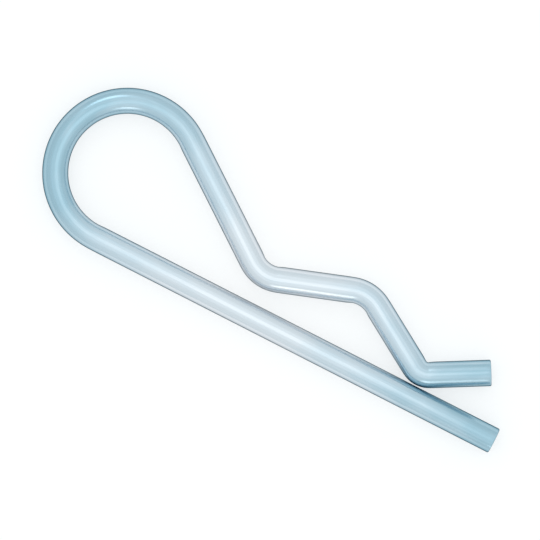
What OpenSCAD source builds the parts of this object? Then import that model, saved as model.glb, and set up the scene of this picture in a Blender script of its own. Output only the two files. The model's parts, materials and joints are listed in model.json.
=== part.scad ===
// Hitch R clip: one length of round spring wire, bent into an eye, a straight leg and a bent leg.
// The clip lies flat on the XY plane. Its straight leg points along +X and its bent leg is on the +Y side.

/* [Wire] */
// Diameter of the round wire
wire_d = 4; // [2.5:0.1:6]
// How much thinner the wire is round its bends, where bending draws it out
bend_thinning = 0.04; // [0.02:0.01:0.1]
// Width of the edge broken off each square-cut end
end_break = 0.2; // [0.05:0.05:0.5]

/* [Eye] */
// Inside diameter of the eye
eye_inner_d = 17.8; // [14:0.1:30]

/* [Bends of the bent leg] */
// Angle at which the bent leg closes in from the eye to the neck
closing_angle = 36.2; // [30:0.1:45]
// Angle at which it rises from the neck to the crest
rise_angle = 19.1; // [14:0.1:25]
// Angle at which it falls from the crest to the contact bend
fall_angle = 31.4; // [25:0.1:40]
// Angle at which the tail flares away from the straight leg
tail_angle = 29; // [15:0.1:45]
// Inside radius of the bend at the neck
neck_bend_r = 3; // [1:0.1:4]
// Inside radius of the bend at the crest
crest_bend_r = 3.3; // [1:0.1:4.5]
// Inside radius of the tight contact bend
contact_bend_r = 0.5; // [0.3:0.1:2]

/* [Room between the legs] */
// Gap between the legs at the neck
neck_gap = 2.6; // [1:0.1:4]
// Clear height of the pocket under the crest
pocket_h = 6.9; // [6:0.1:10]
// Gap left at the contact bend, where the unloaded legs all but touch
contact_gap = 0.15; // [0.05:0.05:1]

/* [Ends] */
// Length of the straight leg past the lowest point of the contact bend
lead_len = 14.4; // [5:0.1:40]
// Length of the straight tail past the contact bend
tail_len = 9.3; // [4:0.1:20]

/* [Hidden] */
$fn = 64;

wire_r = wire_d / 2;
bend_wire_r = (wire_d - bend_thinning) / 2;

// Radii of the bends along the wire's centreline
eye_r = eye_inner_d / 2 + bend_wire_r;
neck_r = neck_bend_r + bend_wire_r;
crest_r = crest_bend_r + bend_wire_r;
contact_r = contact_bend_r + bend_wire_r;

// Angle through which the wire turns round the eye, from the straight leg into the bent leg
eye_turn = 180 + closing_angle;

// How far the bent leg's centreline is from the straight leg's at the neck, the crest and the contact bend
neck_h = wire_r + neck_gap + bend_wire_r;
crest_h = wire_r + pocket_h + bend_wire_r;
contact_h = wire_r + contact_gap + bend_wire_r;

// How far a bend of radius r departs from its tangent over an angle
function departure(r, angle) = r * (1 - cos(angle));

// Straight lengths between the bends, such that each bend comes to its own height
closing_len = (2 * eye_r - departure(eye_r + neck_r, closing_angle) - neck_h) / sin(closing_angle);
rise_len = (crest_h - neck_h - departure(neck_r + crest_r, rise_angle)) / sin(rise_angle);
fall_len = (crest_h - contact_h - departure(crest_r + contact_r, fall_angle)) / sin(fall_angle);

// Lowest point of the contact bend along X, measured from the eye's centre, and the straight leg's cut end past it
contact_x = (eye_r + neck_r) * sin(closing_angle) + closing_len * cos(closing_angle)
    + (neck_r + crest_r) * sin(rise_angle) + rise_len * cos(rise_angle)
    + (crest_r + contact_r) * sin(fall_angle) + fall_len * cos(fall_angle);
leg_len = contact_x + lead_len;

// Middle of the clip's outline, measured from the eye's centre and the straight leg's axis
middle_x = (leg_len - eye_r - bend_wire_r) / 2;
middle_y = (2 * eye_r + bend_wire_r - wire_r) / 2;

// Length by which each end of a bend is seated in the straight stretch next to it
bend_seat = 0.05;

// Straight wire from the origin along +X, with what follows it at its far end
module run(len) {
    rotate([0, 90, 0])
        cylinder(h = len, r = wire_r);
    translate([len, 0, 0])
        children();
}

// Wire bent to the left (side = 1) or to the right (side = -1) of +X, with what follows it at its far end
module bend(r, angle, side) {
    seat_angle = bend_seat / r * 180 / PI;
    translate([0, side * r, 0]) {
        rotate([0, 0, (side > 0 ? -90 : 90 - angle) - seat_angle])
            rotate_extrude(angle = angle + 2 * seat_angle)
                translate([r, 0])
                    circle(r = bend_wire_r);
        rotate([0, 0, side * angle])
            translate([0, -side * r, 0])
                children();
    }
}

// Square-cut end of the wire with its edge broken, from the origin along +X
module cut_end() {
    rotate([0, 90, 0])
        cylinder(h = end_break, r1 = wire_r, r2 = wire_r - end_break);
}

// Straight leg, from the eye's tangent point to its cut end
module straight_leg() {
    run(leg_len - end_break)
        cut_end();
}

// Bent leg, from the eye's tangent point over the neck, the crest and the contact bend to its cut end
module bent_leg() {
    run(closing_len)
        bend(neck_r, closing_angle + rise_angle, 1)
            run(rise_len)
                bend(crest_r, rise_angle + fall_angle, -1)
                    run(fall_len)
                        bend(contact_r, fall_angle + tail_angle, 1)
                            run(tail_len - end_break)
                                cut_end();
}

// The whole wire. From the straight leg's tangent point it turns round the eye into the bent leg.
module clip_wire() {
    color("lightsteelblue")
        translate([-middle_x, -middle_y, wire_r]) {
            straight_leg();
            rotate([0, 0, 180])
                bend(eye_r, eye_turn, -1)
                    bent_leg();
        }
}

clip_wire();
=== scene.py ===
"""Hitch R clip, dressed: drawn, bent and sheared spring wire under bright zinc with a pale blue film."""
import json
import math

import bpy
from mathutils import Euler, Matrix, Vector, noise


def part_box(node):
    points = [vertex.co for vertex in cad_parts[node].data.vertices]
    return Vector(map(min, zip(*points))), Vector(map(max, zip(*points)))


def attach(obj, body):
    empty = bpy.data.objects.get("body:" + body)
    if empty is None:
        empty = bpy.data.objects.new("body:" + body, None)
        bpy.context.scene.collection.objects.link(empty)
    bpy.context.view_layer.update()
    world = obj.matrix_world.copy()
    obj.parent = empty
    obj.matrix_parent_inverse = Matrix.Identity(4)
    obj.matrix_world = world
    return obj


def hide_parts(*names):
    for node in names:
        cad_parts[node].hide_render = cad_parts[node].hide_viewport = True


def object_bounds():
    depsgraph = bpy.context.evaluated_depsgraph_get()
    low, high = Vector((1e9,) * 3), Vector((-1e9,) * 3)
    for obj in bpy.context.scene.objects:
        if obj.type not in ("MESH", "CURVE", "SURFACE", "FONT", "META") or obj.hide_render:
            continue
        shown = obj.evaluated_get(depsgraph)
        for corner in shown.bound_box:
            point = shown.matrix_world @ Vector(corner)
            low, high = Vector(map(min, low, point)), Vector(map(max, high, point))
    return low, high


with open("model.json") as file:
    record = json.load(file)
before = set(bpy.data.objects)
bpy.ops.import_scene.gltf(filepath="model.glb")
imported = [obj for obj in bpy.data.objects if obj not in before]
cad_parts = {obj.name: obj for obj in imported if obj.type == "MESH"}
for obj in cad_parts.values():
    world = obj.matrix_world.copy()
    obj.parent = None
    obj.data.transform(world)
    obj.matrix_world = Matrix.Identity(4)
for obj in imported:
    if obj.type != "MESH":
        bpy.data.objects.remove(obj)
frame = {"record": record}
cad_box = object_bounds()

MM = 0.001

# Wire
WIRE_R = 2.0 * MM
BEND_WIRE_R = 1.98 * MM
END_BREAK = 0.2 * MM

# Eye and the bends of the bent leg
EYE_INNER_R = 8.9 * MM
NECK_INNER_R = 3.0 * MM
CREST_INNER_R = 3.3 * MM
CONTACT_INNER_R = 0.5 * MM
CLOSING_ANGLE = math.radians(36.2)
RISE_ANGLE = math.radians(19.1)
FALL_ANGLE = math.radians(31.4)
TAIL_ANGLE = math.radians(29.0)

# Room between the legs, and the ends
NECK_GAP = 2.6 * MM
POCKET_H = 6.9 * MM
CONTACT_GAP = 0.15 * MM
LEAD_LEN = 14.4 * MM
TAIL_LEN = 9.3 * MM

# Mesh of the wire. The section changes over a short stretch at each end of a bend.
RING_SIDES = 72
RUN_STEP = 0.8 * MM
BEND_STEP = math.radians(2.0)
SECTION_BLEND = 0.6 * MM
END_RINGS = 5
FACE_RINGS = 12

# Flats that the bending tools press into the inner side of a bend: their depth, how far round they reach,
# how crisp the crease beside them is, and how soon they show as a mark
TOOL_FLAT_DEPTH = 0.05 * MM
EYE_FLAT_DEPTH = 0.015 * MM
FLAT_REACH = math.cos(math.radians(60))
CREASE_SHARPNESS = 60.0
MARK_GAIN = 1.6

# A sheared end is smooth where the blade passed and torn below that. In radii of the wire: where the torn
# part starts, how soon it steps down, how far it slopes, and the width of the plain rim.
TEAR_START = 0.3
TEAR_EDGE = 0.35
TEAR_RUN = 1.2
RIM_WIDTH = 0.25

# Depths of the torn part, and the size of its grain
TEAR_STEP = 0.032 * MM
TEAR_FALL = 0.045 * MM
TEAR_GRAIN = 0.035 * MM
TEAR_GRAIN_SIZE = 0.35 * MM

# Share of the texture square that the wire's side takes, with the two cut faces beside it
SIDE_SHARE = 0.9
FACE_MIDDLES = ((0.95, 0.25), (0.95, 0.75))
FACE_SPAN = 0.045

# Order of the wire's materials
ON_SIDE = 0
ON_CUT = 1


def step_angle(k, count):
    """Angle of a step, when a circle is gone round in equal steps."""
    return 2 * math.pi * k / count


def departure(radius, angle):
    """How far a bend departs from its tangent over an angle."""
    return radius * (1 - math.cos(angle))


def stretches():
    """The wire from the straight leg's end to the tail's: (length, curvature), to the left if positive."""
    eye_r = EYE_INNER_R + BEND_WIRE_R
    neck_r = NECK_INNER_R + BEND_WIRE_R
    crest_r = CREST_INNER_R + BEND_WIRE_R
    contact_r = CONTACT_INNER_R + BEND_WIRE_R
    neck_h = WIRE_R + NECK_GAP + BEND_WIRE_R
    crest_h = WIRE_R + POCKET_H + BEND_WIRE_R
    contact_h = WIRE_R + CONTACT_GAP + BEND_WIRE_R
    closing = (2 * eye_r - departure(eye_r + neck_r, CLOSING_ANGLE) - neck_h) / math.sin(CLOSING_ANGLE)
    rise = (crest_h - neck_h - departure(neck_r + crest_r, RISE_ANGLE)) / math.sin(RISE_ANGLE)
    fall = (crest_h - contact_h - departure(crest_r + contact_r, FALL_ANGLE)) / math.sin(FALL_ANGLE)
    leg = LEAD_LEN
    leg += (eye_r + neck_r) * math.sin(CLOSING_ANGLE) + closing * math.cos(CLOSING_ANGLE)
    leg += (neck_r + crest_r) * math.sin(RISE_ANGLE) + rise * math.cos(RISE_ANGLE)
    leg += (crest_r + contact_r) * math.sin(FALL_ANGLE) + fall * math.cos(FALL_ANGLE)
    return [
        (leg, 0.0),  # straight leg
        (eye_r * (math.pi + CLOSING_ANGLE), -1 / eye_r),  # eye
        (closing, 0.0),  # closing run
        (neck_r * (CLOSING_ANGLE + RISE_ANGLE), 1 / neck_r),  # neck bend
        (rise, 0.0),  # rise
        (crest_r * (RISE_ANGLE + FALL_ANGLE), -1 / crest_r),  # crest bend
        (fall, 0.0),  # fall
        (contact_r * (FALL_ANGLE + TAIL_ANGLE), 1 / contact_r),  # contact bend
        (TAIL_LEN, 0.0),  # tail
    ]


def ahead(heading):
    """Unit vector along a heading in the plane of the clip."""
    return Vector((math.cos(heading), math.sin(heading), 0))


def travel(point, heading, curvature, along):
    """Point and heading that a stretch of this curvature has got to after some distance."""
    if curvature == 0:
        return point + along * ahead(heading), heading
    turned = heading + along * curvature
    dx = (math.sin(turned) - math.sin(heading)) / curvature
    dy = (math.cos(heading) - math.cos(turned)) / curvature
    return point + Vector((dx, dy, 0)), turned


def stations(parts, point, heading):
    """Places of the rings along the wire: a list of (distance, point, heading)."""
    found = [(0.0, point, heading)]
    distance = 0.0
    for length, curvature in parts:
        step = RUN_STEP if curvature == 0 else BEND_STEP / abs(curvature)
        count = math.ceil(length / step)
        for i in range(1, count + 1):
            along = length * i / count
            found.append((distance + along, *travel(point, heading, curvature, along)))
        point, heading = travel(point, heading, curvature, length)
        distance += length
    return found


def broken_edge():
    """Rounded edge of an end, from the wire to the face: (distance from its plane, radius taken off)."""
    angles = [math.pi / 2 * i / END_RINGS for i in range(END_RINGS + 1)]
    return [(END_BREAK * (1 - math.sin(a)), END_BREAK * (1 - math.cos(a))) for a in angles]


def wire_rings(parts, start, heading):
    """Every ring of the wire: a list of (distance, centre, heading, radius taken off)."""
    inner = stations(parts, start, heading)
    total, tail, tail_heading = inner[-1]
    rings = []
    for back, off in reversed(broken_edge()):
        rings.append((back, start + back * ahead(heading), heading, off))
    for distance, point, turned in inner:
        if END_BREAK < distance < total - END_BREAK:
            rings.append((distance, point, turned, 0.0))
    for back, off in broken_edge():
        rings.append((total - back, tail - back * ahead(tail_heading), tail_heading, off))
    return rings


def smooth(value):
    """Smooth step from 0 to 1."""
    t = min(1.0, max(0.0, value))
    return t * t * (3 - 2 * t)


def soft_min(a, b):
    """The lesser of two lengths, rounded off where they cross."""
    k = CREASE_SHARPNESS / WIRE_R
    return -math.log(math.exp(-k * a) + math.exp(-k * b)) / k


def bends_near(parts, distance):
    """Bends that a distance lies in: a list of (share of the bend's section, curvature)."""
    found = []
    begin = 0.0
    for length, curvature in parts:
        inside = min(distance - begin, begin + length - distance)
        share = smooth(inside / SECTION_BLEND + 0.5)
        if curvature != 0 and share > 0:
            found.append((share, curvature))
        begin += length
    return found


def section(bends, angle):
    """The wire's radius at an angle from its left side, and the strength of the tool's mark there."""
    radius = WIRE_R
    mark = 0.0
    for share, curvature in bends:
        radius -= (WIRE_R - BEND_WIRE_R) * share
        is_eye = abs(curvature) * EYE_INNER_R < 1
        depth = share * (EYE_FLAT_DEPTH if is_eye else TOOL_FLAT_DEPTH)
        inward = math.cos(angle) * math.copysign(1, curvature)
        if inward > FLAT_REACH:
            pressed = soft_min(radius, (radius - depth) / inward)
            mark = max(mark, share * smooth(MARK_GAIN * (radius - pressed) / depth))
            radius = pressed
    return radius, mark


def tear(side, up, seed):
    """Depth of a sheared face: none where the blade passed, then a step and a grainy slope.

    The seed gives each end a grain of its own.
    """
    below = TEAR_START - up / WIRE_R
    grain = 0.5 + 0.5 * noise.noise(Vector((side, up, seed * MM)) / TEAR_GRAIN_SIZE)
    step = smooth(below / TEAR_EDGE) * (TEAR_STEP + TEAR_GRAIN * grain)
    return step + smooth(below / TEAR_RUN) * TEAR_FALL


def face_corner(end, share, k):
    """Texture coordinates on a cut face, at a share of its radius and a side of its ring."""
    angle = step_angle(k, RING_SIDES)
    u, v = FACE_MIDDLES[end]
    return u + FACE_SPAN * share * math.cos(angle), v + FACE_SPAN * share * math.sin(angle)


class Wire:
    """Mesh data of the swept wire.

    Its space holds each vertex's own wire coordinates: the distance along the wire, and how far it lies to
    the left of the centreline and above it.
    """

    def __init__(self, total):
        self.total = total
        self.points = []
        self.space = []
        self.marks = []
        self.faces = []
        self.materials = []
        self.corners = []

    def add_point(self, centre, heading, distance, side, up, mark=0.0):
        """Adds a vertex beside and above a point of the centreline."""
        left = ahead(heading + math.pi / 2)
        self.points.append(centre + side * left + Vector((0, 0, up)))
        self.space.append((distance, side, up))
        self.marks.append(mark)

    def add_ring(self, centre, heading, distance, off, bends):
        """Adds a ring of the wire's side and returns the index of its first vertex."""
        first = len(self.points)
        for k in range(RING_SIDES):
            angle = step_angle(k, RING_SIDES)
            radius, mark = section(bends, angle)
            side = (radius - off) * math.cos(angle)
            up = (radius - off) * math.sin(angle)
            self.add_point(centre, heading, distance, side, up, mark)
        return first

    def add_face(self, loop, corners, material):
        """Adds a face, with the texture coordinates of its corners."""
        self.faces.append(tuple(loop))
        self.corners += corners
        self.materials.append(material)

    def join_rings(self, a, b, distance_a, distance_b):
        """Joins two rings of the side with faces."""
        near = SIDE_SHARE * distance_a / self.total
        far = SIDE_SHARE * distance_b / self.total
        for k in range(RING_SIDES):
            n = (k + 1) % RING_SIDES
            low = k / RING_SIDES
            high = (k + 1) / RING_SIDES
            corners = [(near, low), (near, high), (far, high), (far, low)]
            self.add_face((a + k, a + n, b + n, b + k), corners, ON_SIDE)

    def add_cut_face(self, ring, place, heading, distance, end):
        """Closes an end with rings of a sheared face. End 0 looks back along the wire, and end 1 ahead."""
        way = -1 if end == 0 else 1
        inward = -way * ahead(heading)
        shares = [1 - i / FACE_RINGS for i in range(FACE_RINGS)]
        for outer, inner in zip(shares, shares[1:]):
            first = len(self.points)
            radius = (WIRE_R - END_BREAK) * inner
            for k in range(RING_SIDES):
                angle = step_angle(k, RING_SIDES)
                side = radius * math.cos(angle)
                up = radius * math.sin(angle)
                depth = tear(side, up, end + 1) * smooth((1 - inner) / RIM_WIDTH)
                self.add_point(place + depth * inward, heading, distance, side, up)
            for k in range(RING_SIDES):
                n = (k + 1) % RING_SIDES
                loop = (ring + k, ring + n, first + n, first + k)
                places = ((outer, k), (outer, k + 1), (inner, k + 1), (inner, k))
                self.add_face(loop[::way], [face_corner(end, *p) for p in places[::way]], ON_CUT)
            ring = first
        middle = len(self.points)
        self.add_point(place + tear(0.0, 0.0, end + 1) * inward, heading, distance, 0.0, 0.0)
        for k in range(RING_SIDES):
            loop = (ring + k, ring + (k + 1) % RING_SIDES, middle)
            places = ((shares[-1], k), (shares[-1], k + 1), (0.0, k))
            self.add_face(loop[::way], [face_corner(end, *p) for p in places[::way]], ON_CUT)


def build_wire():
    """The whole wire as one closed mesh, swept from the straight leg's cut end to the tail's."""
    leg = next(m for m in frame["record"]["mounts"] if m["name"] == "straight_leg")
    start = Vector(leg["pos_m"])
    start.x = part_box("clip_wire")[1].x
    parts = stretches()
    rings = wire_rings(parts, start, math.pi)
    wire = Wire(rings[-1][0])
    firsts = [wire.add_ring(centre, heading, distance, off, bends_near(parts, distance))
              for distance, centre, heading, off in rings]
    for i in range(1, len(rings)):
        wire.join_rings(firsts[i - 1], firsts[i], rings[i - 1][0], rings[i][0])
    for end, at in enumerate((0, -1)):
        distance, centre, heading, _ = rings[at]
        wire.add_cut_face(firsts[at], centre, heading, distance, end)
    return wire


def make_piece(name, wire, materials):
    """Blender object of the wire, smooth-shaded, with its texture coordinates and attributes."""
    data = bpy.data.meshes.new(name)
    data.from_pydata([tuple(p) for p in wire.points], [], wire.faces)
    layer = data.uv_layers.new(name="along_wire")
    layer.data.foreach_set("uv", [c for corner in wire.corners for c in corner])
    space = data.attributes.new("wire_space", "FLOAT_VECTOR", "POINT")
    space.data.foreach_set("vector", [c for place in wire.space for c in place])
    marks = data.attributes.new("tool_mark", "FLOAT", "POINT")
    marks.data.foreach_set("value", wire.marks)
    for material in materials:
        data.materials.append(material)
    data.polygons.foreach_set("material_index", wire.materials)
    data.polygons.foreach_set("use_smooth", [True] * len(wire.faces))
    data.update()
    piece = bpy.data.objects.new(name, data)
    bpy.context.scene.collection.objects.link(piece)
    return piece


# Noise textures keep mostly between these two values
NOISE_LOW = 0.3
NOISE_HIGH = 0.7


class Shader:
    """Node tree of a material or of the world, with short calls to add and link nodes."""

    def __init__(self, owner, output="ShaderNodeOutputMaterial"):
        self.owner = owner
        owner.use_nodes = True
        self.tree = owner.node_tree
        self.tree.nodes.clear()
        self.output = self.tree.nodes.new(output)

    def add(self, kind, inputs=None, **settings):
        """Adds a node, sets it and fills its inputs with values or with the sockets of other nodes."""
        made = self.tree.nodes.new(kind)
        for key, value in settings.items():
            setattr(made, key, value)
        for key, value in (inputs or {}).items():
            if isinstance(value, bpy.types.NodeSocket):
                self.tree.links.new(value, made.inputs[key])
            else:
                made.inputs[key].default_value = value
        return made

    def math(self, operation, a, b):
        """One operation on two values."""
        return self.add("ShaderNodeMath", {0: a, 1: b}, operation=operation).outputs[0]

    def times(self, a, b):
        """Product of two values."""
        return self.math("MULTIPLY", a, b)

    def total(self, value, *others):
        """Sum of several values."""
        for other in others:
            value = self.math("ADD", value, other)
        return value

    def attribute(self, name, output):
        """An attribute of the mesh."""
        return self.add("ShaderNodeAttribute", attribute_name=name).outputs[output]

    def pattern(self, space, along, aside, up, detail, roughness):
        """Noise in the wire's own coordinates, with a size of its own in each direction."""
        scale = (1 / along, 1 / aside, 1 / up)
        place = self.add("ShaderNodeVectorMath", {0: space, 1: scale}, operation="MULTIPLY").outputs[0]
        inputs = {"Vector": place, "Scale": 1.0, "Detail": detail, "Roughness": roughness}
        return self.add("ShaderNodeTexNoise", inputs).outputs[0]

    def span(self, value, low, high, to_low=0.0, to_high=1.0):
        """Maps a range of a value onto another range, and keeps within it."""
        inputs = {0: value, 1: low, 2: high, 3: to_low, 4: to_high}
        return self.add("ShaderNodeMapRange", inputs, clamp=True).outputs[0]

    def waver(self, value, amount):
        """Turns noise into a change of up to an amount either way."""
        return self.span(value, NOISE_LOW, NOISE_HIGH, -amount, amount)

    def blend(self, factor, a, b):
        """Colour between two others. The node's colours are its inputs 6 and 7 and its output 2."""
        return self.add("ShaderNodeMix", {0: factor, 6: a, 7: b}, data_type="RGBA").outputs[2]

    def bump(self, height, depth):
        """Surface direction on a relief of some depth."""
        return self.add("ShaderNodeBump", {"Height": height, "Strength": 1.0, "Distance": depth}).outputs[0]

    def close(self, shader):
        """Links the finished shader to the output and returns the material or the world."""
        self.tree.links.new(shader.outputs[0], self.output.inputs["Surface"])
        return self.owner


# Colours of the plating: where the film is thin, usual and thick, at a grazing rim, and on torn metal
# The pale and the blue colours also paint a sheen near the middle and shade towards the ends.
ZINC_PALE = (0.75, 0.79, 0.83, 1)
ZINC_BASE = (0.6, 0.71, 0.78, 1)
ZINC_BLUE = (0.39, 0.57, 0.66, 1)
RIM_TINT = (0.0, 0.04, 0.06, 1)
TORN_TINT = (0.46, 0.56, 0.62, 1)

# Painted sheen and shade: the plating is painted paler near the middle of the straight leg and bluer and
# darker outward
PAINTED_SHEEN_MIDDLE = (-0.9 * MM, -7.2 * MM, 2.0 * MM)
PAINTED_SHEEN_RADIUS = 8 * MM
PAINTED_SHADE_RADIUS = 38 * MM

# Patterns: size along the wire, sideways and upward, then the noise's detail and the strength of its finest
# part. The blade leaves its scores down a sheared face, so they don't change along the wire.
DRAW_LINES = (22 * MM, 0.5 * MM, 0.5 * MM, 4.0, 0.55)
HAIRS = (9 * MM, 0.11 * MM, 0.11 * MM, 3.0, 0.55)
CLOUDS = (9 * MM, 3.5 * MM, 3.5 * MM, 3.0, 0.55)
GRAIN = (0.07 * MM, 0.07 * MM, 0.07 * MM, 2.0, 0.55)
BLADE_SCORES = (math.inf, 0.09 * MM, 1.4 * MM, 3.0, 0.5)
TORN_GRAIN = (0.16 * MM, 0.16 * MM, 0.16 * MM, 4.0, 0.65)

# Thickness of the film, from 0 to 1: that of the usual colour, and how far clouds and draw lines change it
USUAL_FILM = 0.5
CLOUD_FILM = 0.16
LINE_FILM = 0.1

# Gloss and relief of the plating. A tool's mark is paler and smoother than the wire round it.
ROUGHNESS = 0.23
LINE_ROUGHNESS = 0.04
HAIR_ROUGHNESS = 0.03
ANISOTROPY = 0.5
LINE_HEIGHT = 1.6
GRAIN_HEIGHT = 0.5
RELIEF = 0.004 * MM
MARK_PALENESS = 0.35
MARK_POLISH = 0.08


def zinc_finish():
    """Bright zinc with a pale blue film and a painted sheen, drawn along the wire and polished where tools
    pressed it.
    """
    s = Shader(bpy.data.materials.new("zinc_plated_wire"))
    space = s.attribute("wire_space", "Vector")
    mark = s.attribute("tool_mark", "Fac")
    lines = s.pattern(space, *DRAW_LINES)
    hairs = s.pattern(space, *HAIRS)
    clouds = s.pattern(space, *CLOUDS)
    grain = s.pattern(space, *GRAIN)
    # Painted sheen and shade: paler near a point by the middle of the straight leg, bluer and darker
    # farther from it.
    place = s.add("ShaderNodeTexCoord").outputs["Object"]
    away = s.add("ShaderNodeVectorMath", {0: place, 1: PAINTED_SHEEN_MIDDLE}, operation="DISTANCE").outputs["Value"]
    film_and_sheen = s.span(away, PAINTED_SHEEN_RADIUS, PAINTED_SHADE_RADIUS)
    film_and_sheen = s.total(film_and_sheen, s.waver(clouds, CLOUD_FILM), s.waver(lines, LINE_FILM))
    colour = s.blend(s.span(film_and_sheen, 0.0, USUAL_FILM), ZINC_PALE, ZINC_BASE)
    colour = s.blend(s.span(film_and_sheen, USUAL_FILM, 1.0), colour, ZINC_BLUE)
    colour = s.blend(s.times(mark, MARK_PALENESS), colour, ZINC_PALE)
    rough = s.total(ROUGHNESS, s.waver(lines, LINE_ROUGHNESS), s.waver(hairs, HAIR_ROUGHNESS))
    rough = s.math("SUBTRACT", rough, s.times(mark, MARK_POLISH))
    height = s.total(s.times(lines, LINE_HEIGHT), hairs, s.times(grain, GRAIN_HEIGHT))
    return s.close(s.add("ShaderNodeBsdfPrincipled", {
        "Base Color": colour,
        "Metallic": 1.0,
        "Roughness": rough,
        "Anisotropic": ANISOTROPY,
        "Specular Tint": RIM_TINT,
        "Normal": s.bump(height, RELIEF),
        "Tangent": s.add("ShaderNodeTangent", direction_type="UV_MAP", uv_map="along_wire").outputs[0],
    }))


# Gloss and relief of a sheared face
SCORE_HEIGHT = 0.7
TORN_RELIEF = 0.02 * MM
BLADE_ROUGHNESS = 0.3
TORN_ROUGHNESS = 0.46


def cut_finish():
    """Sheared end under the same plating: scored where the blade passed, grainy where the wire tore."""
    s = Shader(bpy.data.materials.new("zinc_cut_end"))
    space = s.attribute("wire_space", "Vector")
    scores = s.pattern(space, *BLADE_SCORES)
    torn = s.pattern(space, *TORN_GRAIN)
    up = s.add("ShaderNodeSeparateXYZ", {0: space}).outputs[2]
    torn_share = s.span(up, TEAR_START * WIRE_R, (TEAR_START - TEAR_EDGE) * WIRE_R)
    grainy = s.blend(s.span(torn, NOISE_LOW, NOISE_HIGH), TORN_TINT, ZINC_BASE)
    height = s.total(s.times(scores, SCORE_HEIGHT), s.times(torn, torn_share))
    return s.close(s.add("ShaderNodeBsdfPrincipled", {
        "Base Color": s.blend(torn_share, ZINC_BASE, grainy),
        "Metallic": 1.0,
        "Roughness": s.span(torn_share, 0.0, 1.0, BLADE_ROUGHNESS, TORN_ROUGHNESS),
        "Specular Tint": RIM_TINT,
        "Normal": s.bump(height, TORN_RELIEF),
    }))


def make_clip():
    """The dressed wire, in place of the plain one."""
    piece = make_piece("clip_wire_dressed", build_wire(), [zinc_finish(), cut_finish()])
    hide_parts("clip_wire")
    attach(piece, "root")


# Floor. A camera or a reflection sees a white glow in it, and its diffuse share keeps the shadow.
FLOOR_RADIUS = 3.0
FLOOR_SIDES = 96
FLOOR_COLOUR = (0.8, 0.8, 0.8, 1)
SHADOW_COLOUR = (0.42, 0.42, 0.42, 1)
WHITE = (1, 1, 1, 1)
GLOW = 0.63


def floor_finish():
    """White floor that keeps the shadow of what lies on it."""
    s = Shader(bpy.data.materials.new("white_floor"))
    path = s.add("ShaderNodeLightPath")
    seen = s.math("MAXIMUM", path.outputs["Is Camera Ray"], path.outputs["Is Glossy Ray"])
    seen = s.math("MAXIMUM", seen, path.outputs["Is Transmission Ray"])
    plain = s.add("ShaderNodeBsdfDiffuse", {"Color": FLOOR_COLOUR}).outputs[0]
    shaded = s.add("ShaderNodeBsdfDiffuse", {"Color": SHADOW_COLOUR}).outputs[0]
    glow = s.add("ShaderNodeEmission", {"Color": WHITE, "Strength": GLOW}).outputs[0]
    shown = s.add("ShaderNodeAddShader", {0: shaded, 1: glow}).outputs[0]
    return s.close(s.add("ShaderNodeMixShader", {0: seen, 1: plain, 2: shown}))


def make_floor():
    """A wide round floor at the height that the clip lies on."""
    data = bpy.data.meshes.new("floor")
    rim = [FLOOR_RADIUS * ahead(step_angle(k, FLOOR_SIDES)) for k in range(FLOOR_SIDES)]
    data.from_pydata([tuple(p) for p in rim], [], [tuple(range(FLOOR_SIDES))])
    data.materials.append(floor_finish())
    floor = bpy.data.objects.new("floor", data)
    floor.location.z = cad_box[0].z
    bpy.context.scene.collection.objects.link(floor)


# Soft light from all round, brighter overhead than at the horizon. The height is on a unit sphere.
WORLD_COLOUR = (0.9, 0.975, 1.0, 1)
HORIZON_STRENGTH = 0.86
OVERHEAD_STRENGTH = 0.94
OVERHEAD_HEIGHT = 0.85


def make_world():
    """Plain surroundings of the studio."""
    s = Shader(bpy.data.worlds.new("studio"), "ShaderNodeOutputWorld")
    direction = s.add("ShaderNodeTexCoord").outputs["Generated"]
    height = s.add("ShaderNodeSeparateXYZ", {0: direction}).outputs[2]
    strength = s.span(height, 0.0, OVERHEAD_HEIGHT, HORIZON_STRENGTH, OVERHEAD_STRENGTH)
    sky = s.add("ShaderNodeBackground", {"Color": WORLD_COLOUR, "Strength": strength})
    bpy.context.scene.world = s.close(sky)


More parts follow.
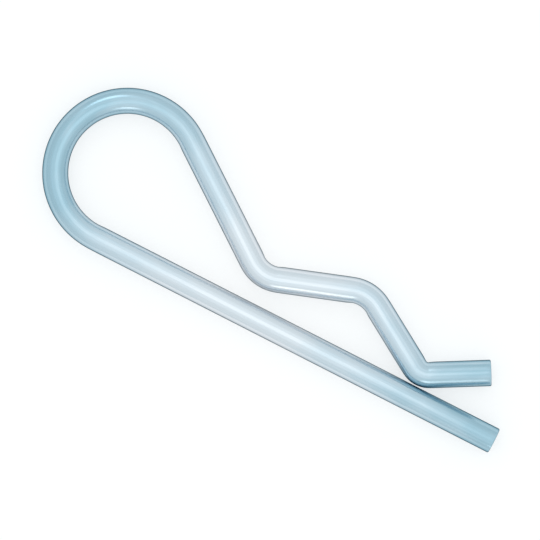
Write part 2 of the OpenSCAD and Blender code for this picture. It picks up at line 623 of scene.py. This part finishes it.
# Lamps: name, place, what it faces, width, what its face adds to the brightness behind it, and colour.
# A brightness of 1 is white.
WARM = (1.0, 0.96, 0.92)
COOL = (0.93, 0.97, 1.0)
CLIP = (0, 0, 0)
LAMPS = [
    ("near_lamp", (-1 * MM, -7 * MM, 160 * MM), PAINTED_SHEEN_MIDDLE, 90 * MM, 0.24, WARM),
    ("overhead_lamp", (0, 0, 320 * MM), CLIP, 560 * MM, 0.1, COOL),
    ("side_lamp", (-450 * MM, 450 * MM, 600 * MM), CLIP, 300 * MM, 1.1, COOL),
    ("low_lamp", (300 * MM, -700 * MM, 350 * MM), CLIP, 250 * MM, 1.1, WARM),
]


def add_lamp(name, place, target, width, brightness, colour):
    """A round soft lamp that faces its target. Its energy is pi times its brightness times its area."""
    data = bpy.data.lights.new(name, "AREA")
    data.shape = "DISK"
    data.size = width
    data.energy = brightness * math.pi * math.pi * (width / 2) ** 2
    data.color = colour
    lamp = bpy.data.objects.new(name, data)
    lamp.location = place
    lamp.rotation_euler = (Vector(target) - Vector(place)).to_track_quat("-Z", "Y").to_euler()
    lamp.visible_camera = False
    bpy.context.scene.collection.objects.link(lamp)


# Camera: it looks straight down, turned so that the clip lies across the picture as in the photograph
SENSOR = 36.0
LENS = 400.0
PICTURE_SPAN = 81.55 * MM
PICTURE_MIDDLE = (-1.574 * MM, -3.253 * MM)
PICTURE_TURN = math.radians(27.043)


def make_camera():
    """Camera at the photograph's viewing angle."""
    data = bpy.data.cameras.new("camera")
    data.lens = LENS
    data.sensor_width = SENSOR
    camera = bpy.data.objects.new("camera", data)
    height = cad_box[0].z + WIRE_R + PICTURE_SPAN * LENS / SENSOR
    camera.location = (*PICTURE_MIDDLE, height)
    camera.rotation_euler = Euler((0, 0, PICTURE_TURN))
    bpy.context.scene.collection.objects.link(camera)
    bpy.context.scene.camera = camera


bpy.context.scene.view_settings.view_transform = "Standard"
make_camera()
make_floor()
make_world()
for lamp_values in LAMPS:
    add_lamp(*lamp_values)
make_clip()
